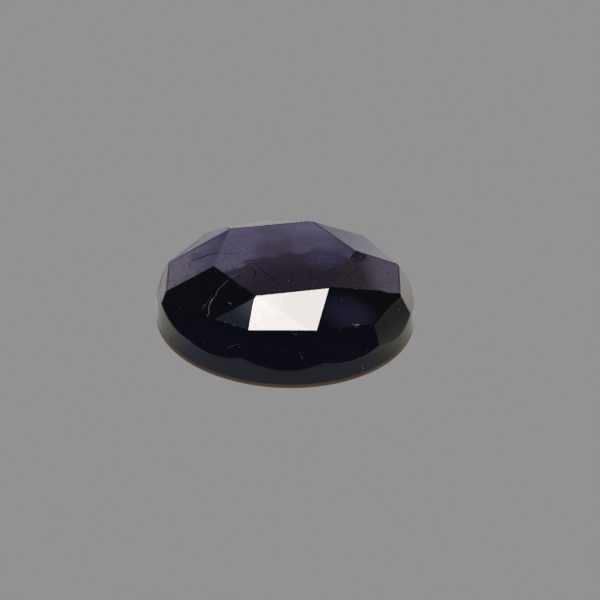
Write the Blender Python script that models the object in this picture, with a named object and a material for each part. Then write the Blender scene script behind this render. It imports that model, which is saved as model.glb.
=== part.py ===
"""Rose cut iolite: one loose oval stone with a flat base, an upright girdle wall and a low faceted crown.

The stone is cut as a cutter cuts it. An oval blank with its base edge ground off is laid flat,
and every facet is one flat cut at a given direction, slope and height.
"""

import math

import bmesh
import bpy
from mathutils import Vector

MM = 0.001

# Outline of the blank, in millimetres. The long axis lies along X.
STONE_LENGTH = 16.0
STONE_WIDTH = 12.0
BLANK_HEIGHT = 5.6
OUTLINE_SIDES = 192
BASE_EDGE = 0.06

# Each cut is (direction, slope, height). The direction is where the facet faces, in degrees
# anticlockwise from +X seen from above, and the slope is in degrees from the horizontal.

# Steep lower row. The height is that of the girdle wall left under the cut, in millimetres.
LOWER_ROW = (
    (6.5, 64.5, 1.65),
    (41.5, 68.0, 1.55),
    (82.0, 64.0, 1.77),
    (87.5, 64.0, 1.69),
    (111.5, 50.5, 2.45),
    (141.0, 62.0, 1.99),
    (175.0, 58.0, 1.82),
    (234.0, 55.0, 2.00),
    (244.5, 60.0, 1.74),
    (273.0, 62.0, 1.55),
    (298.0, 60.0, 1.67),
    (326.5, 62.0, 1.64),
)

# Middle row, with the height of each cut's plane on the stone's axis, in millimetres.
# The front cut was ground in two passes a few degrees apart.
MIDDLE_ROW = (
    (55.5, 30.0, 6.66),
    (103.0, 29.5, 6.43),
    (151.5, 28.5, 6.59),
    (207.0, 17.0, 5.29),
    (234.5, 19.0, 5.56),
    (270.5, 16.5, 5.25),
    (277.5, 14.0, 5.08),
    (315.0, 22.5, 5.91),
    (326.5, 26.0, 6.63),
)

# Cuts that close the top, with their heights on the axis, in millimetres.
TOP_ROW = (
    (2.5, 13.0, 5.26),
    (7.5, 16.5, 5.61),
    (112.0, 6.0, 4.33),
    (158.0, 25.0, 6.09),
)

# Polished iolite seen by reflected light.
STONE_COLOR = (0.045, 0.035, 0.11, 1.0)
STONE_ROUGHNESS = 0.06
STONE_IOR = 1.54

# Facets meet at three degrees or more, and the sides of the round wall at less.
FACET_EDGE_ANGLE = math.radians(3.0)


def clear_scene():
    for obj in list(bpy.data.objects):
        bpy.data.objects.remove(obj, do_unlink=True)


def stone_material():
    material = bpy.data.materials.new("polished_iolite")
    material.use_nodes = True
    shader = material.node_tree.nodes["Principled BSDF"]
    shader.inputs["Base Color"].default_value = STONE_COLOR
    shader.inputs["Metallic"].default_value = 0.0
    shader.inputs["Roughness"].default_value = STONE_ROUGHNESS
    shader.inputs["IOR"].default_value = STONE_IOR
    material.diffuse_color = STONE_COLOR
    return material


def make_blank(bm):
    """An upright oval cylinder standing on z = 0, with its lower edge ground off."""
    bmesh.ops.create_cone(
        bm,
        cap_ends=True,
        segments=OUTLINE_SIDES,
        radius1=STONE_LENGTH / 2 * MM,
        radius2=STONE_LENGTH / 2 * MM,
        depth=BLANK_HEIGHT * MM,
    )
    bmesh.ops.scale(bm, vec=(1.0, STONE_WIDTH / STONE_LENGTH, 1.0), verts=bm.verts)
    bmesh.ops.translate(bm, vec=(0.0, 0.0, BLANK_HEIGHT / 2 * MM), verts=bm.verts)
    rim = [e for e in bm.edges if all(v.co.z < BASE_EDGE / 2 * MM for v in e.verts)]
    bmesh.ops.bevel(
        bm, geom=rim, affect="EDGES", offset=BASE_EDGE * MM, segments=1, profile=0.5, material=-1
    )


def wall_point(direction, height):
    """The point of the girdle wall whose outward side faces the given direction."""
    half_length = STONE_LENGTH / 2 * MM
    half_width = STONE_WIDTH / 2 * MM
    x = half_length**2 * math.cos(direction)
    y = half_width**2 * math.sin(direction)
    reach = math.hypot(half_length * math.cos(direction), half_width * math.sin(direction))
    return Vector((x / reach, y / reach, height * MM))


def cut_facet(bm, point, direction, slope):
    """Removes what lies above one flat cut, and closes the stone with the new facet."""
    outward = Vector(
        (
            math.sin(slope) * math.cos(direction),
            math.sin(slope) * math.sin(direction),
            math.cos(slope),
        )
    )
    cut = bmesh.ops.bisect_plane(
        bm,
        geom=bm.verts[:] + bm.edges[:] + bm.faces[:],
        dist=1e-9,
        plane_co=point,
        plane_no=outward,
        clear_outer=True,
    )
    outline = [e for e in cut["geom_cut"] if isinstance(e, bmesh.types.BMEdge)]
    bmesh.ops.holes_fill(bm, edges=outline, sides=0)


def cut_crown(bm):
    for degrees, slope, height in LOWER_ROW:
        direction = math.radians(degrees)
        cut_facet(bm, wall_point(direction, height), direction, math.radians(slope))
    for degrees, slope, height in MIDDLE_ROW + TOP_ROW:
        on_axis = Vector((0.0, 0.0, height * MM))
        cut_facet(bm, on_axis, math.radians(degrees), math.radians(slope))


def make_stone(collection):
    mesh = bpy.data.meshes.new("iolite_stone")
    bm = bmesh.new()
    make_blank(bm)
    cut_crown(bm)
    bmesh.ops.recalc_face_normals(bm, faces=bm.faces)
    bm.to_mesh(mesh)
    bm.free()
    mesh.shade_smooth()
    mesh.set_sharp_from_angle(angle=FACET_EDGE_ANGLE)
    mesh.materials.append(stone_material())
    stone = bpy.data.objects.new("iolite_stone", mesh)
    collection.objects.link(stone)
    return stone


def main():
    clear_scene()
    collection = bpy.data.collections.new("rose_cut_iolite")
    bpy.context.scene.collection.children.link(collection)
    make_stone(collection)


main()
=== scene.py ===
import math
import random

import bmesh
import bpy
from bpy.props import FloatProperty, PointerProperty, StringProperty
from bpy.types import Operator, Panel, PropertyGroup
from mathutils import Matrix, Vector
from mathutils.bvhtree import BVHTree


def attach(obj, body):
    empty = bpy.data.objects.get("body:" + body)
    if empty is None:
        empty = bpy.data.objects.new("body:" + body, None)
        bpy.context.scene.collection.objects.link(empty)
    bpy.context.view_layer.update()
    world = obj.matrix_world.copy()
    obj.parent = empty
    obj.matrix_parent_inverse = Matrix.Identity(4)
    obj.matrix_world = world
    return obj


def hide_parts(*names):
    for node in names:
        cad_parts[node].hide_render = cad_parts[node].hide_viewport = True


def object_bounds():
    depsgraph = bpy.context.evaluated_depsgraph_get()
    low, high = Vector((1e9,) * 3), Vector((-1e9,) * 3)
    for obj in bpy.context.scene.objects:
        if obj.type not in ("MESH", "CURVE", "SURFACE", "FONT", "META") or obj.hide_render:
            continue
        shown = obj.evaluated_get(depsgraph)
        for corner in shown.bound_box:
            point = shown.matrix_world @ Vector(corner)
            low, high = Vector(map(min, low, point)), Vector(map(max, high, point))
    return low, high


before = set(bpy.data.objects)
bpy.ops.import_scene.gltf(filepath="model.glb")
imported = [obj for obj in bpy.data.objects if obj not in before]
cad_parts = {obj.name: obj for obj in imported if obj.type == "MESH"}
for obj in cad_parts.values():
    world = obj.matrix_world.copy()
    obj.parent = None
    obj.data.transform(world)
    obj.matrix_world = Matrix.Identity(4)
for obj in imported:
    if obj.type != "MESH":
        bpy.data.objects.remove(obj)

bl_info = {
    "name": "Rose Cut Iolite",
    "version": (1, 0, 0),
    "blender": (4, 5, 0),
    "location": "3D View > Sidebar > Iolite",
    "description": "Dresses one loose rose cut iolite and sets it up for a studio photograph",
    "category": "Add Mesh",
}

MM = 0.001
CAD_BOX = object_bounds()
STONE_NODE = "iolite_stone"

# The view of the stone. The camera looks down at it from the front with a long lens.
PHOTO_SIZE = 600
ORIGIN_PIXEL = (284.94, 319.61)
PIXEL_SPAN = 0.0621152 * MM
SENSOR_WIDTH = 36.0

# Points nearer than this are one corner of the stone, and faces flatter than this are one facet.
WELD_SPAN = 0.006 * MM
COPLANAR = math.radians(0.25)
FACET_EDGE_ANGLE = math.radians(3.0)
ROUNDED_EDGE_ANGLE = math.radians(8.0)

# Points this near to a level are on it, and a cut passes through a point this near to it.
LEVEL_SLACK = 1e-8
CUT_SLACK = 1e-9

# The stone's material slots.
POLISHED, GROUND, DARK_EDGE = range(3)

# Rounded edges that face this far back, and no flatter than this, get the dark edge material.
DARK_EDGE_MIN_Y = 0.05
DARK_EDGE_MAX_Z = 0.96

# Refraction of iolite, across its three near-equal axes.
IOLITE_IOR = 1.54

# A zone of colour is its centre and its reach in millimetres, the distances in reaches at which it
# starts and is full, and how far clouds push that distance about. A reach of 0 counts every height.
# These zones paint light and shade over the stone's own violet: a painted violet glow near the thin
# back edge, painted shade deeper in, along its border and in one corner, and a painted reflection
# and haze on the front facets.
MIDDLE_AT = (1.7, -3.0, 0.0)
MIDDLE_REACH = (6.4, 5.0, 0.0)
SHALLOW_ZONE = (MIDDLE_AT, MIDDLE_REACH, (0.66, 1.12), 0.2)
THIN_ZONE = (MIDDLE_AT, MIDDLE_REACH, (1.06, 1.18), 0.26)
VIOLET_ZONE = ((1.9, 4.8, 3.2), (4.4, 2.4, 2.4), (1.0, 0.35), 0.15)
DEEP_ZONE = ((4.2, 2.4, 3.9), (1.9, 1.7, 2.0), (1.0, 0.1), 0.0)
FRINGE_ZONE = ((-0.7, 1.9, 4.2), (2.2, 1.1, 1.5), (1.2, 0.3), 0.4)
PAINTED_VEIL_ZONE = ((2.3, 1.4, 4.1), (1.7, 1.3, 1.5), (1.5, 0.4), 0.8)
CORNER_ZONE = ((4.35, 1.75, 4.25), (0.9, 0.7, 0.7), (1.0, 0.5), 0.0)
# Where the pale painted reflection and the painted violet haze lie on the front facets.
PAINTED_REFLECTION_ZONE = ((-1.3, -2.8, 3.9), (2.2, 2.2, 2.2), (1.0, 0.0), 0.0)
PAINTED_HAZE_ZONE = ((4.0, -2.9, 3.4), (2.0, 1.4, 2.0), (1.1, 0.0), 0.0)

# Facets are told apart by how far they lean: to the right in X, to the back in Y and up in Z. Each
# pair is where a facet starts to count and where it counts in full.
BACK_LEAN_Y = (-0.11, 0.0)
FORWARD_LEAN_Y = (-0.15, -0.22)
GLEAM_LEAN_X = (-0.1, -0.16)
UPPER_LEAN_Z = (0.885, 0.900)
LEFT_UPPER_LEAN_X = (-0.2, -0.3)
RIGHT_UPPER_LEAN_X = (0.15, 0.2)
RIGHT_RIM_LEAN_X = (0.08, 0.2)
RIGHT_END_LEAN_X = (0.5, 0.7)
LEFT_END_LEAN_X = (-0.5, -0.7)
WALL_LEAN_Z = (0.3, 0.1)

# Where along the stone its colour and its painted light and shade change. The right facet turns
# lilac across a slanting line, along which X falls by LILAC_SLANT of Y.
PALE_SIDE_X = (-1.0 * MM, -3.0 * MM)
BLUE_SIDE_X = (-6.6 * MM, -3.9 * MM)
LILAC_SIDE = (4.7 * MM, 6.4 * MM)
LILAC_SLANT = 0.34
DUSKY_RIM_X = (7.6 * MM, 2.6 * MM)
ABOVE_BASE_Z = (0.02 * MM, 0.05 * MM)

# Widths of the soft clouds and the fine grains in the colour, as they look in the view.
CLOUD_SIZE = 1.1 * MM
GRAIN_SIZE = 0.16 * MM

# How far clouds and grains spread: the values of their noise at which a colour starts to show and
# covers in full. Both lie mostly between 0.3 and 0.7.
THIN_EDGE_CLOUDS = (0.32, 0.68)
LEFT_CLOUDS = (0.54, 0.40)
RIM_CLOUDS = (0.40, 0.62)
THIN_EDGE_GRAINS = (0.60, 0.30)
SIDE_GRAINS = (0.52, 0.30)
BROWN_GRAINS = (0.50, 0.66)
PAINTED_VEIL_GRAINS = (0.34, 0.58)
GREY_GRAINS = (0.60, 0.72)

# The warm brown painted contact shadow on the ground edge: the size of its blotches, how far its
# top wanders and fades, and where it is lighter. The strip is rough, and the wall above it is
# polished.
SHADOW_BLOTCH_SIZE = 1.1 * MM
SHADOW_WOBBLE = 0.14 * MM
SHADOW_FADE = 0.14 * MM
SHADOW_LIGHT_Z = (0.20 * MM, 0.0)
SHADOW_BLOTCHES = (0.35, 0.70)
GROUND_ROUGHNESS = 0.65
WALL_ROUGHNESS = 0.02

# Pale marks that reach the surface, as the pixels of the view that they lie behind.
FISSURE_TOP = (
    (245.0, 270.7),
    (237.1, 274.3),
    (231.4, 277.1),
    (224.3, 283.6),
    (217.9, 290.3),
)
LONG_FISSURE = (
    (217.9, 290.3),
    (215.0, 296.4),
    (210.0, 302.9),
    (208.6, 308.6),
    (208.9, 313.6),
    (206.4, 317.1),
)
FISSURE_BRANCH = ((212.1, 295.0), (207.9, 301.4), (204.3, 305.7), (201.4, 311.4))
FISSURE_FOOT = ((206.6, 316.6), (203.2, 317.8))
FAINT_FISSURE = ((257.9, 260.7), (248.6, 262.9), (235.7, 267.9), (229.3, 269.3))
LEFT_TICK = ((227.9, 302.1), (231.1, 304.0))
RIGHT_VEIL = ((348.6, 261.0), (352.0, 259.9), (355.0, 259.0), (362.1, 257.1))
RIGHT_LINE = ((351.4, 268.6), (357.0, 266.0), (362.1, 263.6))
MIDDLE_LINE = ((326.4, 268.6), (332.9, 265.7))
# Two short bright streaks drawn as pale hairs: painted glints.
UPPER_GLINT = ((352.1, 324.0), (355.8, 324.8), (359.3, 325.0))
LOWER_GLINT = ((352.9, 326.9), (358.6, 326.9))
EDGE_TICK = ((355.0, 288.6), (357.9, 289.6))
FRONT_SCRATCH = ((299.3, 352.1), (301.4, 356.3), (303.6, 361.1))
FRONT_TICK = ((293.6, 332.9), (296.4, 335.0))
LEFT_SCRATCH = ((227.1, 347.9), (235.7, 344.6), (242.0, 343.8), (250.0, 344.8))
WALL_NICK = ((362.1, 365.4), (362.6, 367.6), (362.9, 370.0))

# Open cracks, and the dark lines along the edges of the upper facets, where the glass turns the
# light back. Those lines, and the ones at the ends and along the outline, are painted shade drawn
# as dark hairs.
LEFT_CRACK = ((219.3, 252.1), (210.0, 254.6), (200.0, 258.0), (191.4, 260.7))
TABLE_CRACK = ((221.4, 254.3), (231.4, 253.3), (240.0, 252.9))
MIDDLE_CRACK = ((260.0, 269.3), (268.6, 275.0), (275.7, 280.7), (284.3, 286.4))
FEATHER_EDGE = ((257.0, 264.0), (259.4, 268.0), (262.0, 270.6))
LEFT_FEATHER = ((187.6, 262.6), (190.2, 266.0), (190.8, 271.0))
CORNER_CRACK = ((174.6, 283.6), (176.0, 287.2), (173.4, 290.0))
FEATHER_CRACK = ((253.4, 266.0), (254.6, 271.0), (255.9, 276.4))
# Painted shade: dark lines along the facet edges, the ends and the outline.
RIM_LINE = ((170.2, 263.2), (185.0, 254.7), (200.0, 246.1), (214.0, 238.1), (226.5, 230.9))
LEFT_END_LINE = ((169.4, 264.2), (168.8, 270.0), (168.2, 280.0), (167.4, 289.0))
LEFT_OUTLINE = ((166.4, 267.5), (163.2, 273.5), (160.8, 281.0), (159.4, 289.0), (158.8, 297.0))
UPPER_OUTLINE = ((171.6, 261.4), (183.0, 252.5), (195.0, 243.1), (206.2, 234.6))
RIGHT_END_LINE = ((398.2, 266.0), (398.8, 280.0), (399.3, 292.0))

# Each hair is its width in millimetres and its line, and each speck its width and its pixel.
PALE_HAIRS = (
    (0.018, FISSURE_TOP),
    (0.029, LONG_FISSURE),
    (0.014, FISSURE_BRANCH),
    (0.026, FISSURE_FOOT),
    (0.016, FAINT_FISSURE),
    (0.065, LEFT_TICK),
    (0.022, RIGHT_VEIL),
    (0.012, RIGHT_LINE),
    (0.016, MIDDLE_LINE),
    (0.075, UPPER_GLINT),
    (0.060, LOWER_GLINT),
    (0.045, EDGE_TICK),
    (0.014, FRONT_SCRATCH),
    (0.018, FRONT_TICK),
    (0.012, LEFT_SCRATCH),
    (0.050, WALL_NICK),
)
DARK_HAIRS = (
    (0.070, LEFT_CRACK),
    (0.040, TABLE_CRACK),
    (0.080, MIDDLE_CRACK),
    (0.110, FEATHER_CRACK),
    (0.070, FEATHER_EDGE),
    (0.050, LEFT_FEATHER),
    (0.060, CORNER_CRACK),
    (0.040, RIM_LINE),
    (0.040, LEFT_END_LINE),
    (0.050, RIGHT_END_LINE),
    (0.025, LEFT_OUTLINE),
    (0.025, UPPER_OUTLINE),
)
PALE_SPECKS = (
    (0.150, (228.4, 237.1)),
    (0.040, (229.3, 263.3)),
    (0.050, (244.3, 265.3)),
    (0.045, (254.3, 239.3)),
    (0.070, (240.0, 286.0)),
    (0.050, (216.0, 272.1)),
    (0.045, (275.0, 272.6)),
    (0.060, (288.6, 280.7)),
    (0.080, (314.3, 281.4)),
    (0.070, (330.0, 282.9)),
    (0.045, (333.6, 284.3)),
    (0.035, (348.6, 271.0)),
    (0.035, (313.6, 257.9)),
    (0.080, (224.6, 322.1)),
    (0.055, (229.3, 321.4)),
    (0.070, (234.0, 325.0)),
    (0.050, (180.3, 308.6)),
    (0.045, (219.7, 339.3)),
    (0.050, (203.6, 341.7)),
    (0.040, (190.0, 330.7)),
    (0.055, (167.1, 325.7)),
    (0.050, (239.3, 347.1)),
    (0.040, (282.9, 351.1)),
    (0.060, (399.3, 310.0)),
    (0.060, (364.3, 312.6)),
    (0.045, (341.6, 300.4)),
    (0.060, (367.1, 350.0)),
    (0.065, (359.3, 357.9)),
    (0.045, (335.0, 361.4)),
    (0.045, (311.4, 375.7)),
    (0.040, (293.6, 376.4)),
)
DARK_SPECKS = (
    (0.16, (171.4, 339.6)),
    (0.14, (188.9, 356.4)),
    (0.10, (347.5, 263.0)),
    (0.08, (190.6, 265.6)),
    (0.08, (255.6, 262.4)),
    (0.07, (176.0, 286.4)),
)

# Dust too fine to place one by one: how much, how wide in millimetres, and between which pixels.
DUST_SEED = 11
DUST_COUNT = 110
DUST_WIDTHS = (0.014, 0.036)
DUST_PIXELS = ((160.0, 405.0), (228.0, 372.0))

# A hair's prisms overlap by a share of their length, and a hair ends at a share of its width. A
# speck's width and thickness are shares of its length.
HAIR_SIDES = 6
HAIR_OVERLAP = 0.04
HAIR_TIP = 0.35
SPECK_SHAPE = 0.7
SPECK_FLATNESS = 0.4
BEAD_SIZE = 0.12 * MM

# The paper lies this far under the stone's base, so that the two surfaces don't coincide. It
# reaches this many metres to each side, and glows evenly in this colour for the camera.
TABLE_GAP = 0.05 * MM
TABLE_REACH = 3.0
TABLE_GLOW = "#929292"

# To the light in the stone the paper is brighter behind and beside it, and bluer before it. Each
# pair is where that starts and where it is full. Far behind, a share of the brightness is left.
STONE_REACH = (CAD_BOX[1][0] / MM, CAD_BOX[1][1] / MM, 0.0)
OUTSIDE_ZONE = ((0.0, 0.0, 0.0), STONE_REACH, (1.0, 1.06), 0.0)
BEHIND_Y = (1.0 * MM, 6.0 * MM)
BEHIND_X = (-9.0 * MM, -4.0 * MM)
FAR_BEHIND_Y = (17.0 * MM, 25.0 * MM)
FAR_BEHIND_SHARE = 0.39157
BEFORE_Y = (-3.0 * MM, -5.0 * MM)
BESIDE_X = (6.5 * MM, 10.0 * MM)
BESIDE_END_X = (75.0 * MM, 20.0 * MM)

# The room's walls by direction: a glow low down behind the stone, and a bluer wall before it.
GLOW_Z = (0.18, 0.02)
GLOW_Y = (0.4, 0.9)
FRONT_WALL_Y = (-0.05, -0.4)

# Each lamp is (name, direction anticlockwise from +X, elevation, width, height, power), in degrees,
# metres and watts. All stand at one distance from the stone, and shine a little more at one side.
LAMP_DISTANCE = 0.6
LAMP_FALL = (0.92, 1.19)
LAMP_COLOUR = "#FFFAF5"
LAMPS = (
    ("overhead_softbox", 96.0, 75.5, 0.16, 0.16, 1.4),
)

# A Mix node has sockets for every type of value, and these are the ones that mix colours.
MIX_SHARE = 0
MIX_FIRST = 6
MIX_SECOND = 7
MIX_RESULT = 2


def linear(hex_colour):
    """The linear RGBA value of an sRGB hex colour such as #AAA0BF."""
    shares = [int(hex_colour[i : i + 2], 16) / 255 for i in (1, 3, 5)]
    channels = [s / 12.92 if s <= 0.04045 else ((s + 0.055) / 1.055) ** 2.4 for s in shares]
    return (*channels, 1.0)


def add_node(tree, kind, settings=None, values=None, links=None):
    """Adds a node with its settings, the values of its sockets and the sockets that feed it."""
    node = tree.nodes.new(kind)
    for name, value in (settings or {}).items():
        setattr(node, name, value)
    for name, value in (values or {}).items():
        node.inputs[name].default_value = value
    for name, socket in (links or {}).items():
        tree.links.new(socket, node.inputs[name])
    return node


def new_material(name):
    """A material with an empty node tree."""
    material = bpy.data.materials.new(name)
    material.use_nodes = True
    material.node_tree.nodes.clear()
    return material


class StoneSettings(PropertyGroup):
    """Sizes and colours of the cut stone."""

    absorption_hex: StringProperty(
        name="Body colour",
        description="Colour that light keeps on its way through the stone",
        default="#AAA3D0",
    )
    absorption_density: FloatProperty(
        name="Depth of colour",
        description="Share of the light taken away in each metre of stone",
        default=300.0,
        min=0.0,
    )
    edge_round: FloatProperty(
        name="Facet edge",
        description="Width of the fine round that polishing leaves between two facets",
        default=0.045 * MM,
        subtype="DISTANCE",
        unit="LENGTH",
    )
    band_height: FloatProperty(
        name="Ground edge",
        description="Mean height of the unpolished strip along the base",
        default=0.42 * MM,
        subtype="DISTANCE",
        unit="LENGTH",
    )


class StageSettings(PropertyGroup):
    """The table, the lamps and the camera."""

    backdrop_hex: StringProperty(
        name="Backdrop", description="Colour of the table as the camera sees it", default=TABLE_GLOW
    )
    camera_distance: FloatProperty(
        name="Camera distance",
        description="From the lens to the stone",
        default=477.0 * MM,
        subtype="DISTANCE",
        unit="LENGTH",
    )
    camera_elevation: FloatProperty(
        name="Camera elevation",
        description="How far the camera looks down",
        default=math.radians(45.0),
        subtype="ANGLE",
        unit="ROTATION",
    )
    camera_turn: FloatProperty(
        name="Camera turn",
        description="How far the camera stands to the right of the stone's front",
        default=math.radians(4.5),
        subtype="ANGLE",
        unit="ROTATION",
    )


def where(tree, *terms):
    """The share, from 0 to 1, of what passes every term. A term is a share already, or a value with
    the limits between which its share rises smoothly from 0 to 1. The first may be the larger."""
    passed = None
    for term in terms:
        if isinstance(term, tuple):
            value, start, full = term
            rises = start < full
            term = add_node(
                tree,
                "ShaderNodeMapRange",
                settings={"interpolation_type": "SMOOTHSTEP"},
                values={
                    "From Min": min(start, full),
                    "From Max": max(start, full),
                    "To Min": 0.0 if rises else 1.0,
                    "To Max": 1.0 if rises else 0.0,
                },
                links={"Value": value},
            ).outputs["Result"]
        if passed is not None:
            term = add_node(
                tree,
                "ShaderNodeMath",
                settings={"operation": "MULTIPLY"},
                links={0: passed, 1: term},
            ).outputs["Value"]
        passed = term
    return passed


def zone(tree, place, centre, reach, limits, unevenness, clouds=None):
    """The share of a place that lies in a zone, as the zones above are given."""
    local = add_node(
        tree,
        "ShaderNodeMapping",
        values={
            "Location": [-c / r if r else 0.0 for c, r in zip(centre, reach)],
            "Scale": [1 / (r * MM) if r else 0.0 for r in reach],
        },
        links={"Vector": place},
    )
    distance = add_node(
        tree,
        "ShaderNodeVectorMath",
        settings={"operation": "LENGTH"},
        links={"Vector": local.outputs["Vector"]},
    ).outputs["Value"]
    if unevenness:
        distance = add_node(
            tree,
            "ShaderNodeMath",
            settings={"operation": "MULTIPLY_ADD"},
            values={1: unevenness},
            links={0: clouds, 2: distance},
        ).outputs["Value"]
    return where(tree, (distance, *limits))


def layered(tree, ground, *layers):
    """A colour with others laid over it in turn. Each layer is the share that it covers and its
    colour, and a colour is an sRGB hex value or the output of a node."""
    colour = ground
    for share, cover in layers:
        values = {}
        links = {MIX_SHARE: share}
        for socket, side in ((MIX_FIRST, colour), (MIX_SECOND, cover)):
            if isinstance(side, str):
                values[socket] = linear(side)
            else:
                links[socket] = side
        colour = add_node(
            tree, "ShaderNodeMix", settings={"data_type": "RGBA"}, values=values, links=links
        ).outputs[MIX_RESULT]
    return colour


def stone_patterns(tree):
    """What the stone's colour follows: the place in it, how the facet leans, clouds and grains."""
    place = add_node(tree, "ShaderNodeTexCoord").outputs["Object"]
    normal = add_node(tree, "ShaderNodeNewGeometry").outputs["True Normal"]
    clouds = add_node(
        tree,
        "ShaderNodeTexNoise",
        values={"Scale": 1 / CLOUD_SIZE, "Detail": 4.0, "Roughness": 0.6, "Distortion": 0.4},
        links={"Vector": place},
    )
    grains = add_node(
        tree,
        "ShaderNodeTexNoise",
        values={"Scale": 1 / GRAIN_SIZE, "Detail": 3.0, "Roughness": 0.7},
        links={"Vector": place},
    )
    return {
        "place": place,
        "at": add_node(tree, "ShaderNodeSeparateXYZ", links={"Vector": place}).outputs,
        "lean": add_node(tree, "ShaderNodeSeparateXYZ", links={"Vector": normal}).outputs,
        "clouds": clouds.outputs["Fac"],
        "grains": grains.outputs["Fac"],
    }


def upper_colour(tree, patterns):
    """The nearly flat facets that lean back, painted light and shade over the stone's violet: a
    painted violet glow, unevenly clouded, near their far edge, where the stone is thin, and painted
    brown shade over its thick middle. The left one deepens to blue towards the others, and the
    right one goes from painted lilac light to a painted red brown shade, darkest in its far corner."""
    place, at, lean = patterns["place"], patterns["at"], patterns["lean"]
    clouds, grains = patterns["clouds"], patterns["grains"]
    pale = layered(tree, "#BAACD0", (clouds, "#F2E4FF"))
    # Painted light near the far edge: a clouded violet glow, with painted shade deeper in and along
    # its border.
    thin_edge_shading = layered(
        tree,
        "#92829A",
        (where(tree, (clouds, *THIN_EDGE_CLOUDS)), "#C2B2D4"),
        (zone(tree, place, *DEEP_ZONE), "#6C5C80"),
        (where(tree, (at["X"], *PALE_SIDE_X)), pale),
        (zone(tree, place, *FRINGE_ZONE, clouds), "#6E5C64"),
        (where(tree, (grains, *THIN_EDGE_GRAINS)), "#8A7690"),
        (zone(tree, place, *VIOLET_ZONE, clouds), "#E0D2FF"),
    )
    # A painted film of muted violet light over the far edge.
    painted_veil = where(tree, zone(tree, place, *PAINTED_VEIL_ZONE, clouds), (grains, *PAINTED_VEIL_GRAINS))
    left = layered(
        tree,
        "#E2D2DA",
        (where(tree, (at["X"], *BLUE_SIDE_X)), "#625C98"),
        (where(tree, (clouds, *LEFT_CLOUDS)), "#8C8096"),
        (where(tree, (grains, *SIDE_GRAINS)), "#968A9C"),
    )
    slant = add_node(
        tree,
        "ShaderNodeMath",
        settings={"operation": "MULTIPLY_ADD"},
        values={1: LILAC_SLANT},
        links={0: at["Y"], 2: at["X"]},
    ).outputs["Value"]
    # The right facet: painted lilac light past the slanting line, painted red brown shade
    # elsewhere, darkest in its corner.
    right = layered(
        tree,
        "#32231F",
        (where(tree, (slant, *LILAC_SIDE)), "#B6A0A4"),
        (where(tree, (grains, *SIDE_GRAINS)), "#66504E"),
        (zone(tree, place, *CORNER_ZONE), "#1E161C"),
    )
    # Painted brown shade over the middle, with the painted light of the far edge laid over it.
    return layered(
        tree,
        "#241A1D",
        (zone(tree, place, *SHALLOW_ZONE, clouds), "#4C3B48"),
        (where(tree, (grains, *BROWN_GRAINS)), "#462E38"),
        (zone(tree, place, *THIN_ZONE, clouds), thin_edge_shading),
        (painted_veil, "#6E6690"),
        (where(tree, (lean["X"], *LEFT_UPPER_LEAN_X)), left),
        (where(tree, (lean["X"], *RIGHT_UPPER_LEAN_X)), right),
        (where(tree, (grains, *GREY_GRAINS)), "#524854"),
    )


def rim_colour(tree, patterns):
    """The steep facets at the back and the ends, which are nearly clear, and the dark wall. Their
    tints paint light and shade: duskier at the right rim, warmer at the ends and dark navy on the
    wall.
    """
    at, lean, clouds = patterns["at"], patterns["lean"], patterns["clouds"]
    dusky = where(tree, (at["X"], *DUSKY_RIM_X), (lean["X"], *RIGHT_RIM_LEAN_X))
    return layered(
        tree,
        "#DDD8DE",
        (where(tree, (clouds, *RIM_CLOUDS)), "#F6F2F6"),
        (dusky, "#8E88A4"),
        (where(tree, (lean["X"], *RIGHT_END_LEAN_X)), "#D6CBBF"),
        (where(tree, (lean["X"], *LEFT_END_LEAN_X)), "#AB9F8E"),
        (where(tree, (lean["Z"], *WALL_LEAN_Z)), "#2C2852"),
    )


def front_colour(tree, patterns):
    """The facets that lean to the front, in near black painted shade, with a painted blue green
    gleam on the left, a pale painted reflection and a painted violet haze. The painted reflection
    is squared, so that it fades fast from its centre."""
    place, lean = patterns["place"], patterns["lean"]
    forward = where(tree, (lean["Y"], *FORWARD_LEAN_Y))
    left_upper = where(tree, (lean["Z"], *UPPER_LEAN_Z), (lean["X"], *GLEAM_LEAN_X))
    # The pale painted reflection, on the forward facets at the left.
    painted_reflection = zone(tree, place, *PAINTED_REFLECTION_ZONE)
    # Near black painted shade, with the painted gleam, reflection and haze laid over it.
    return layered(
        tree,
        "#010101",
        (where(tree, forward, left_upper), "#1A2628"),
        (where(tree, painted_reflection, painted_reflection, forward), "#B4BAB0"),
        (where(tree, zone(tree, place, *PAINTED_HAZE_ZONE), forward), "#1D1B30"),
    )


def polished_iolite(settings):
    """Polished iolite, a dark violet cordierite. Flat facets mirror the lamps sharply, and the
    depth of the stone takes the light away, leaving it violet. Iolite is pleochroic, and here the
    colour follows the way a facet faces and where it lies: it is partly the stone's own violet,
    smoky brown and navy, and partly painted light and shade: a painted violet glow near its thin
    back edge, painted brown shade over the thick middle, painted bands of bluer light, and near
    black painted shade on the front facets. The flat base under it stays clear, so that the light
    is tinted once."""
    material = new_material("cut_iolite")
    tree = material.node_tree
    patterns = stone_patterns(tree)
    leans_back = where(tree, (patterns["lean"]["Y"], *BACK_LEAN_Y))
    upper_facet = where(tree, (patterns["lean"]["Z"], *UPPER_LEAN_Z))
    above_base = where(tree, (patterns["at"]["Z"], *ABOVE_BASE_Z))
    back = layered(tree, rim_colour(tree, patterns), (upper_facet, upper_colour(tree, patterns)))
    crown = layered(tree, front_colour(tree, patterns), (leans_back, back))
    colour = layered(tree, "#FBF8FF", (above_base, crown))
    surface = add_node(
        tree,
        "ShaderNodeBsdfPrincipled",
        values={"Roughness": 0.0, "IOR": IOLITE_IOR, "Transmission Weight": 1.0},
        links={"Base Color": colour},
    )
    body = add_node(
        tree,
        "ShaderNodeVolumeAbsorption",
        values={
            "Color": linear(settings.absorption_hex),
            "Density": settings.absorption_density,
        },
    )
    add_node(
        tree,
        "ShaderNodeOutputMaterial",
        links={"Surface": surface.outputs["BSDF"], "Volume": body.outputs["Volume"]},
    )
    return material


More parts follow.
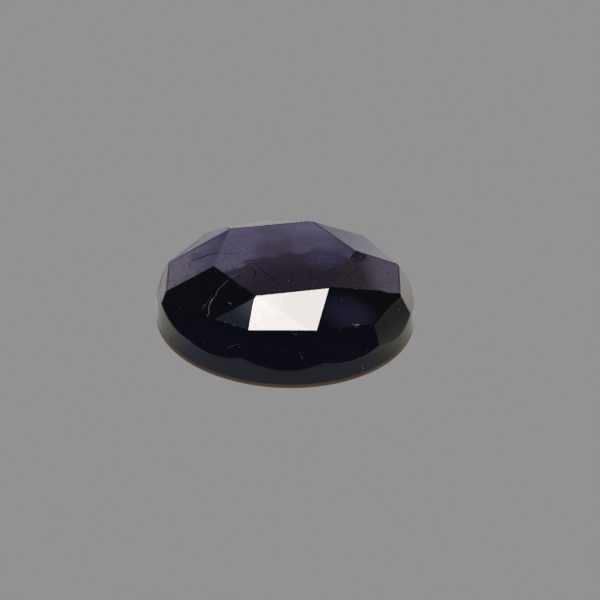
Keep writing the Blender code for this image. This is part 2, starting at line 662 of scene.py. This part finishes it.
def ground_edge_and_shadow(settings):
    """The base edge as it left the lap: unpolished, so it scatters light. A warm brown painted
    contact shadow covers it, creeps up unevenly into the dark polished wall and is lighter near
    the bottom. Seen from inside the stone it shows a painted glow in the table's colour."""
    material = new_material("base_band_painted_shadow")
    tree = material.node_tree
    place = add_node(tree, "ShaderNodeTexCoord").outputs["Object"]
    height = add_node(tree, "ShaderNodeSeparateXYZ", links={"Vector": place}).outputs["Z"]
    blotches = add_node(
        tree,
        "ShaderNodeTexNoise",
        values={"Scale": 1 / SHADOW_BLOTCH_SIZE, "Detail": 4.0, "Roughness": 0.65},
        links={"Vector": place},
    ).outputs["Fac"]
    reach = add_node(
        tree,
        "ShaderNodeMath",
        settings={"operation": "MULTIPLY_ADD"},
        values={1: SHADOW_WOBBLE},
        links={0: blotches, 2: height},
    ).outputs["Value"]
    top = settings.band_height + SHADOW_WOBBLE / 2
    # The band of the painted contact shadow, its top wandering and fading.
    ground_and_shadow = where(tree, (reach, top, top - SHADOW_FADE))
    brown = layered(
        tree,
        "#90653E",
        (where(tree, (height, *SHADOW_LIGHT_Z)), "#E6CEAC"),
        (where(tree, (blotches, *SHADOW_BLOTCHES)), "#A88654"),
    )
    # Warm brown painted contact shadow over the near black polished wall.
    colour = layered(tree, "#050607", (ground_and_shadow, brown))
    roughness = add_node(
        tree,
        "ShaderNodeMapRange",
        values={"To Min": WALL_ROUGHNESS, "To Max": GROUND_ROUGHNESS},
        links={"Value": ground_and_shadow},
    ).outputs["Result"]
    surface = add_node(
        tree,
        "ShaderNodeBsdfPrincipled",
        values={"IOR": IOLITE_IOR},
        links={"Base Color": colour, "Roughness": roughness},
    )
    # A painted glow in the table's colour, shown from inside the stone.
    glow = add_node(tree, "ShaderNodeEmission", values={"Color": linear(TABLE_GLOW)})
    inside = add_node(tree, "ShaderNodeNewGeometry").outputs["Backfacing"]
    either = add_node(
        tree,
        "ShaderNodeMixShader",
        links={0: inside, 1: surface.outputs["BSDF"], 2: glow.outputs["Emission"]},
    )
    add_node(tree, "ShaderNodeOutputMaterial", links={"Surface": either.outputs["Shader"]})
    return material


def speckled(name, size, limits, dark, pale, gloss):
    """An opaque material whose colour goes from dark to pale in speckles, between two limits of
    their noise. Gloss holds the values of the shader's own sockets."""
    material = new_material(name)
    tree = material.node_tree
    place = add_node(tree, "ShaderNodeTexCoord").outputs["Object"]
    speckles = add_node(
        tree,
        "ShaderNodeTexNoise",
        values={"Scale": 1 / size, "Detail": 2.0},
        links={"Vector": place},
    ).outputs["Fac"]
    colour = layered(tree, dark, (where(tree, (speckles, *limits)), pale))
    surface = add_node(
        tree,
        "ShaderNodeBsdfPrincipled",
        values={"IOR": IOLITE_IOR, **gloss},
        links={"Base Color": colour},
    )
    add_node(tree, "ShaderNodeOutputMaterial", links={"Surface": surface.outputs["BSDF"]})
    return material


def dark_edge_strip():
    """Dark strips on the rounded edges between facets that face back. They let no light through, so
    each shows as a thin dark line with a faint grey sheen."""
    return speckled(
        "dark_facet_edge", GRAIN_SIZE, (0.50, 0.75), "#0C0A10", "#34303C", {"Roughness": 0.3}
    )


def fissure_and_glint():
    """Healed fissures and tiny crystals that reach the surface. They scatter the light, so they
    show as pale lilac hairs and specks, brighter in some places than in others. Two short pale
    hairs are painted glints."""
    return speckled(
        "fissure_and_glint", BEAD_SIZE, (0.44, 0.60), "#464250", "#ECE8F0", {"Roughness": 0.5}
    )


def crack_and_edge_shade():
    """Open cracks, pits and chips. They swallow the light, so they show as nearly black lines and
    dots with hardly any sheen. The same dark hairs paint the shade lines along facet edges."""
    gloss = {"Roughness": 0.2, "Specular IOR Level": 0.1}
    return speckled("crack_and_edge_shade", BEAD_SIZE, (0.45, 0.70), "#020204", "#16121A", gloss)


def camera_axes(settings):
    """The camera's right, its up and its direction from the stone."""
    turn, rise = settings.camera_turn, settings.camera_elevation
    back = Vector(
        (math.sin(turn) * math.cos(rise), -math.cos(turn) * math.cos(rise), math.sin(rise))
    )
    right = Vector((math.cos(turn), math.sin(turn), 0.0))
    return right, back.cross(right), back


def camera_place(settings):
    """Where the lens is, so that the stone's origin falls on its pixel of the view."""
    right, up, back = camera_axes(settings)
    return (
        back * settings.camera_distance
        + right * (PHOTO_SIZE / 2 - ORIGIN_PIXEL[0]) * PIXEL_SPAN
        + up * (ORIGIN_PIXEL[1] - PHOTO_SIZE / 2) * PIXEL_SPAN
    )


def merged_copy(node):
    """The node's mesh as a bmesh whose facets are single faces."""
    bm = bmesh.new()
    bm.from_mesh(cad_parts[node].data)
    bmesh.ops.remove_doubles(bm, verts=bm.verts, dist=WELD_SPAN)
    bmesh.ops.dissolve_limit(
        bm, angle_limit=COPLANAR, verts=bm.verts, edges=bm.edges, use_dissolve_boundaries=False
    )
    return bm


class IOLITE_OT_stone(Operator):
    """Makes the polished stone with its ground base edge"""

    bl_idname = "iolite.stone"
    bl_label = "Polished stone"

    def execute(self, context):
        settings = context.scene.iolite_stone
        bm = merged_copy(STONE_NODE)
        edges = [
            e
            for e in bm.edges
            if min(v.co.z for v in e.verts) > settings.band_height
            and e.calc_face_angle(0.0) > ROUNDED_EDGE_ANGLE
        ]
        dark_edges = bmesh.ops.bevel(
            bm,
            geom=edges,
            affect="EDGES",
            offset=settings.edge_round,
            segments=1,
            profile=0.5,
            material=-1,
            clamp_overlap=False,
        )["faces"]
        dark_edges = {f for f in dark_edges if f.normal.y > DARK_EDGE_MIN_Y and f.normal.z < DARK_EDGE_MAX_Z}
        bmesh.ops.bisect_plane(
            bm,
            geom=bm.verts[:] + bm.edges[:] + bm.faces[:],
            dist=CUT_SLACK,
            plane_co=(0.0, 0.0, settings.band_height),
            plane_no=(0.0, 0.0, 1.0),
        )
        for face in bm.faces:
            low = all(v.co.z <= settings.band_height + LEVEL_SLACK for v in face.verts)
            base = all(v.co.z < LEVEL_SLACK for v in face.verts)
            if low and not base:
                face.material_index = GROUND
            elif face in dark_edges:
                face.material_index = DARK_EDGE
            else:
                face.material_index = POLISHED
        mesh = bpy.data.meshes.new("rose_cut_stone")
        bm.to_mesh(mesh)
        bm.free()
        mesh.shade_smooth()
        mesh.set_sharp_from_angle(angle=FACET_EDGE_ANGLE)
        stone = bpy.data.objects.new("rose_cut_stone", mesh)
        context.scene.collection.objects.link(stone)
        mesh.materials.append(polished_iolite(settings))
        mesh.materials.append(ground_edge_and_shadow(settings))
        mesh.materials.append(dark_edge_strip())
        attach(stone, "root")
        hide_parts(STONE_NODE)
        return {"FINISHED"}


class IOLITE_OT_inclusions(Operator):
    """Adds the healed fissures, specks and open cracks that reach the stone's surface, with painted
    glints and painted dark lines along facet edges
    """

    bl_idname = "iolite.inclusions"
    bl_label = "Fissures and specks"

    def execute(self, context):
        stage = context.scene.iolite_stage
        bm = merged_copy(STONE_NODE)
        surface = BVHTree.FromBMesh(bm)
        bm.free()
        self.sight = (camera_place(stage), camera_axes(stage), stage.camera_distance, surface)
        specks = PALE_SPECKS + self.dust()
        self.make_piece(context, "fissures_and_glints", PALE_HAIRS, specks, fissure_and_glint())
        self.make_piece(context, "cracks_and_edge_shade", DARK_HAIRS, DARK_SPECKS, crack_and_edge_shade())
        return {"FINISHED"}

    def dust(self):
        """Tiny crystals strewn evenly over the stone as it is seen, none of them off it."""
        chance = random.Random(DUST_SEED)
        grains = []
        while len(grains) < DUST_COUNT:
            pixel = tuple(chance.uniform(*limits) for limits in DUST_PIXELS)
            width = chance.uniform(*DUST_WIDTHS)
            if self.hit(pixel)[0] is not None:
                grains.append((width, pixel))
        return tuple(grains)

    def hit(self, pixel):
        """Where the sight line through a pixel of the view meets the stone, if it does."""
        eye, (right, up, back), distance, surface = self.sight
        way = (
            right * (pixel[0] - PHOTO_SIZE / 2) * PIXEL_SPAN
            + up * (PHOTO_SIZE / 2 - pixel[1]) * PIXEL_SPAN
            - back * distance
        )
        return surface.ray_cast(eye, way.normalized())

    def on_stone(self, pixel):
        """The point of the stone, and the way it faces there, behind a pixel of the view."""
        place, normal, index, reach = self.hit(pixel)
        if place is None:
            raise RuntimeError(f"No stone behind {pixel}")
        return place, normal

    def make_piece(self, context, name, hairs, specks, material):
        """One piece of hairs and specks, laid on the stone where the view shows them."""
        bm = bmesh.new()
        for width, pixels in hairs:
            self.add_hair(bm, width * MM, [self.on_stone(pixel) for pixel in pixels])
        for width, pixel in specks:
            self.add_speck(bm, width * MM, *self.on_stone(pixel))
        mesh = bpy.data.meshes.new(name)
        bm.to_mesh(mesh)
        bm.free()
        piece = bpy.data.objects.new(name, mesh)
        context.scene.collection.objects.link(piece)
        mesh.materials.append(material)
        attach(piece, "root")

    def add_hair(self, bm, width, stops):
        """A chain of thin prisms, half sunk in the surface and thinner towards both ends."""
        last = len(stops) - 1
        for index in range(last):
            (start, start_normal), (end, end_normal) = stops[index], stops[index + 1]
            facing = (start_normal + end_normal).normalized()
            along = (end - start).normalized()
            across = facing.cross(along).normalized()
            turn = Matrix((across, along.cross(across), along)).transposed().to_4x4()
            bmesh.ops.create_cone(
                bm,
                cap_ends=True,
                segments=HAIR_SIDES,
                radius1=width / 2 * self.taper(index, last),
                radius2=width / 2 * self.taper(index + 1, last),
                depth=(end - start).length * (1 + HAIR_OVERLAP),
                matrix=Matrix.Translation((start + end) / 2) @ turn,
            )

    def taper(self, index, last):
        """The share of its width that a hair has at one of its points."""
        return 1.0 if 0 < index < last else HAIR_TIP

    def add_speck(self, bm, width, place, normal):
        """A flat grain lying in the surface."""
        turn = normal.to_track_quat("Z", "Y").to_matrix().to_4x4()
        flat = Matrix.Diagonal((1.0, SPECK_SHAPE, SPECK_FLATNESS, 1.0))
        bmesh.ops.create_icosphere(
            bm, subdivisions=1, radius=width / 2, matrix=Matrix.Translation(place) @ turn @ flat
        )


class IOLITE_OT_stage(Operator):
    """Sets out the table, the lamps and the camera"""

    bl_idname = "iolite.stage"
    bl_label = "Studio"

    def execute(self, context):
        settings = context.scene.iolite_stage
        scene = context.scene
        scene.view_settings.view_transform = "Standard"
        self.make_table(context, settings)
        self.make_room(scene, settings)
        self.make_lamps(context)
        self.make_camera(context, settings)
        return {"FINISHED"}

    def make_table(self, context, settings):
        """Paper that glows evenly for the camera, and unevenly for the light in the stone."""
        bm = bmesh.new()
        bmesh.ops.create_grid(bm, x_segments=1, y_segments=1, size=TABLE_REACH)
        bmesh.ops.translate(bm, vec=(0.0, 0.0, -TABLE_GAP), verts=bm.verts)
        mesh = bpy.data.meshes.new("table")
        bm.to_mesh(mesh)
        bm.free()
        table = bpy.data.objects.new("table", mesh)
        context.scene.collection.objects.link(table)
        material = new_material("lit_paper")
        tree = material.node_tree
        place = add_node(tree, "ShaderNodeTexCoord").outputs["Object"]
        across = add_node(tree, "ShaderNodeSeparateXYZ", links={"Vector": place}).outputs
        outside = zone(tree, place, *OUTSIDE_ZONE)
        far = add_node(
            tree,
            "ShaderNodeMapRange",
            settings={"interpolation_type": "SMOOTHSTEP"},
            values={
                "From Min": FAR_BEHIND_Y[0],
                "From Max": FAR_BEHIND_Y[1],
                "To Min": 1.0,
                "To Max": FAR_BEHIND_SHARE,
            },
            links={"Value": across["Y"]},
        ).outputs["Result"]
        behind = where(tree, outside, (across["Y"], *BEHIND_Y), (across["X"], *BEHIND_X), far)
        before = where(tree, outside, (across["Y"], *BEFORE_Y))
        width = add_node(
            tree, "ShaderNodeMath", settings={"operation": "ABSOLUTE"}, links={0: across["X"]}
        ).outputs["Value"]
        beside = where(tree, (width, *BESIDE_X), (width, *BESIDE_END_X))
        lit = layered(
            tree,
            settings.backdrop_hex,
            (before, "#9294A8"),
            (beside, "#DCD8D0"),
            (behind, "#FFF8F0"),
        )
        seen = add_node(tree, "ShaderNodeLightPath").outputs["Is Camera Ray"]
        colour = layered(tree, lit, (seen, settings.backdrop_hex))
        paper = add_node(tree, "ShaderNodeEmission", links={"Color": colour})
        add_node(tree, "ShaderNodeOutputMaterial", links={"Surface": paper.outputs["Emission"]})
        mesh.materials.append(material)

    def make_room(self, scene, settings):
        """The dim room round the table, which the stone mirrors. The camera sees it as paper."""
        world = bpy.data.worlds.new("dim_room")
        scene.world = world
        world.use_nodes = True
        tree = world.node_tree
        tree.nodes.clear()
        way = add_node(tree, "ShaderNodeTexCoord").outputs["Generated"]
        toward = add_node(tree, "ShaderNodeSeparateXYZ", links={"Vector": way}).outputs
        walls = layered(
            tree,
            "#3C3F48",
            (where(tree, (toward["Y"], *FRONT_WALL_Y)), "#50536E"),
            (where(tree, (toward["Z"], *GLOW_Z), (toward["Y"], *GLOW_Y)), "#FFFFFF"),
        )
        seen = add_node(tree, "ShaderNodeLightPath").outputs["Is Camera Ray"]
        colour = layered(tree, walls, (seen, settings.backdrop_hex))
        room = add_node(tree, "ShaderNodeBackground", links={"Color": colour})
        add_node(tree, "ShaderNodeOutputWorld", links={"Surface": room.outputs["Background"]})

    def make_lamps(self, context):
        """Soft lamps that face the stone. They show in its facets and not to the camera."""
        for name, azimuth, elevation, width, height, power in LAMPS:
            bearing, rise = math.radians(azimuth), math.radians(elevation)
            direction = Vector(
                (
                    math.cos(bearing) * math.cos(rise),
                    math.sin(bearing) * math.cos(rise),
                    math.sin(rise),
                )
            )
            light = bpy.data.lights.new(name, "AREA")
            light.shape = "RECTANGLE"
            light.size = width
            light.size_y = height
            light.energy = power
            light.color = linear(LAMP_COLOUR)[:3]
            light.use_nodes = True
            tree = light.node_tree
            across = add_node(tree, "ShaderNodeNewGeometry").outputs["Parametric"]
            share = add_node(tree, "ShaderNodeSeparateXYZ", links={"Vector": across}).outputs
            fall = add_node(
                tree,
                "ShaderNodeMapRange",
                values={"To Min": LAMP_FALL[0], "To Max": LAMP_FALL[1]},
                links={"Value": share["Y"]},
            )
            tree.links.new(fall.outputs["Result"], tree.nodes["Emission"].inputs["Strength"])
            lamp = bpy.data.objects.new(name, light)
            lamp.location = direction * LAMP_DISTANCE
            lamp.rotation_mode = "QUATERNION"
            lamp.rotation_quaternion = direction.to_track_quat("Z", "Y")
            lamp.visible_camera = False
            context.scene.collection.objects.link(lamp)

    def make_camera(self, context, settings):
        """A camera with a long lens, which has the stone's origin on its pixel of the view."""
        back = camera_axes(settings)[2]
        data = bpy.data.cameras.new("camera")
        data.sensor_width = SENSOR_WIDTH
        data.lens = SENSOR_WIDTH * settings.camera_distance / (PHOTO_SIZE * PIXEL_SPAN)
        data.clip_start = 10.0 * MM
        camera = bpy.data.objects.new("camera", data)
        camera.location = camera_place(settings)
        camera.rotation_mode = "QUATERNION"
        camera.rotation_quaternion = back.to_track_quat("Z", "Y")
        context.scene.collection.objects.link(camera)
        context.scene.camera = camera


class IOLITE_PT_panel(Panel):
    """Lists the steps that make the stone and its studio"""

    bl_idname = "IOLITE_PT_panel"
    bl_label = "Rose Cut Iolite"
    bl_space_type = "VIEW_3D"
    bl_region_type = "UI"
    bl_category = "Iolite"

    def draw(self, context):
        layout = self.layout
        for settings in (context.scene.iolite_stone, context.scene.iolite_stage):
            for name in settings.__annotations__:
                layout.prop(settings, name)
        for operator in (IOLITE_OT_stone, IOLITE_OT_inclusions, IOLITE_OT_stage):
            layout.operator(operator.bl_idname)


CLASSES = (
    StoneSettings,
    StageSettings,
    IOLITE_OT_stone,
    IOLITE_OT_inclusions,
    IOLITE_OT_stage,
    IOLITE_PT_panel,
)


def register():
    for cls in CLASSES:
        bpy.utils.register_class(cls)
    bpy.types.Scene.iolite_stone = PointerProperty(type=StoneSettings)
    bpy.types.Scene.iolite_stage = PointerProperty(type=StageSettings)


def unregister():
    del bpy.types.Scene.iolite_stage
    del bpy.types.Scene.iolite_stone
    for cls in reversed(CLASSES):
        bpy.utils.unregister_class(cls)


def main():
    register()
    bpy.ops.iolite.stone()
    bpy.ops.iolite.inclusions()
    bpy.ops.iolite.stage()


if __name__ == "__main__":
    main()
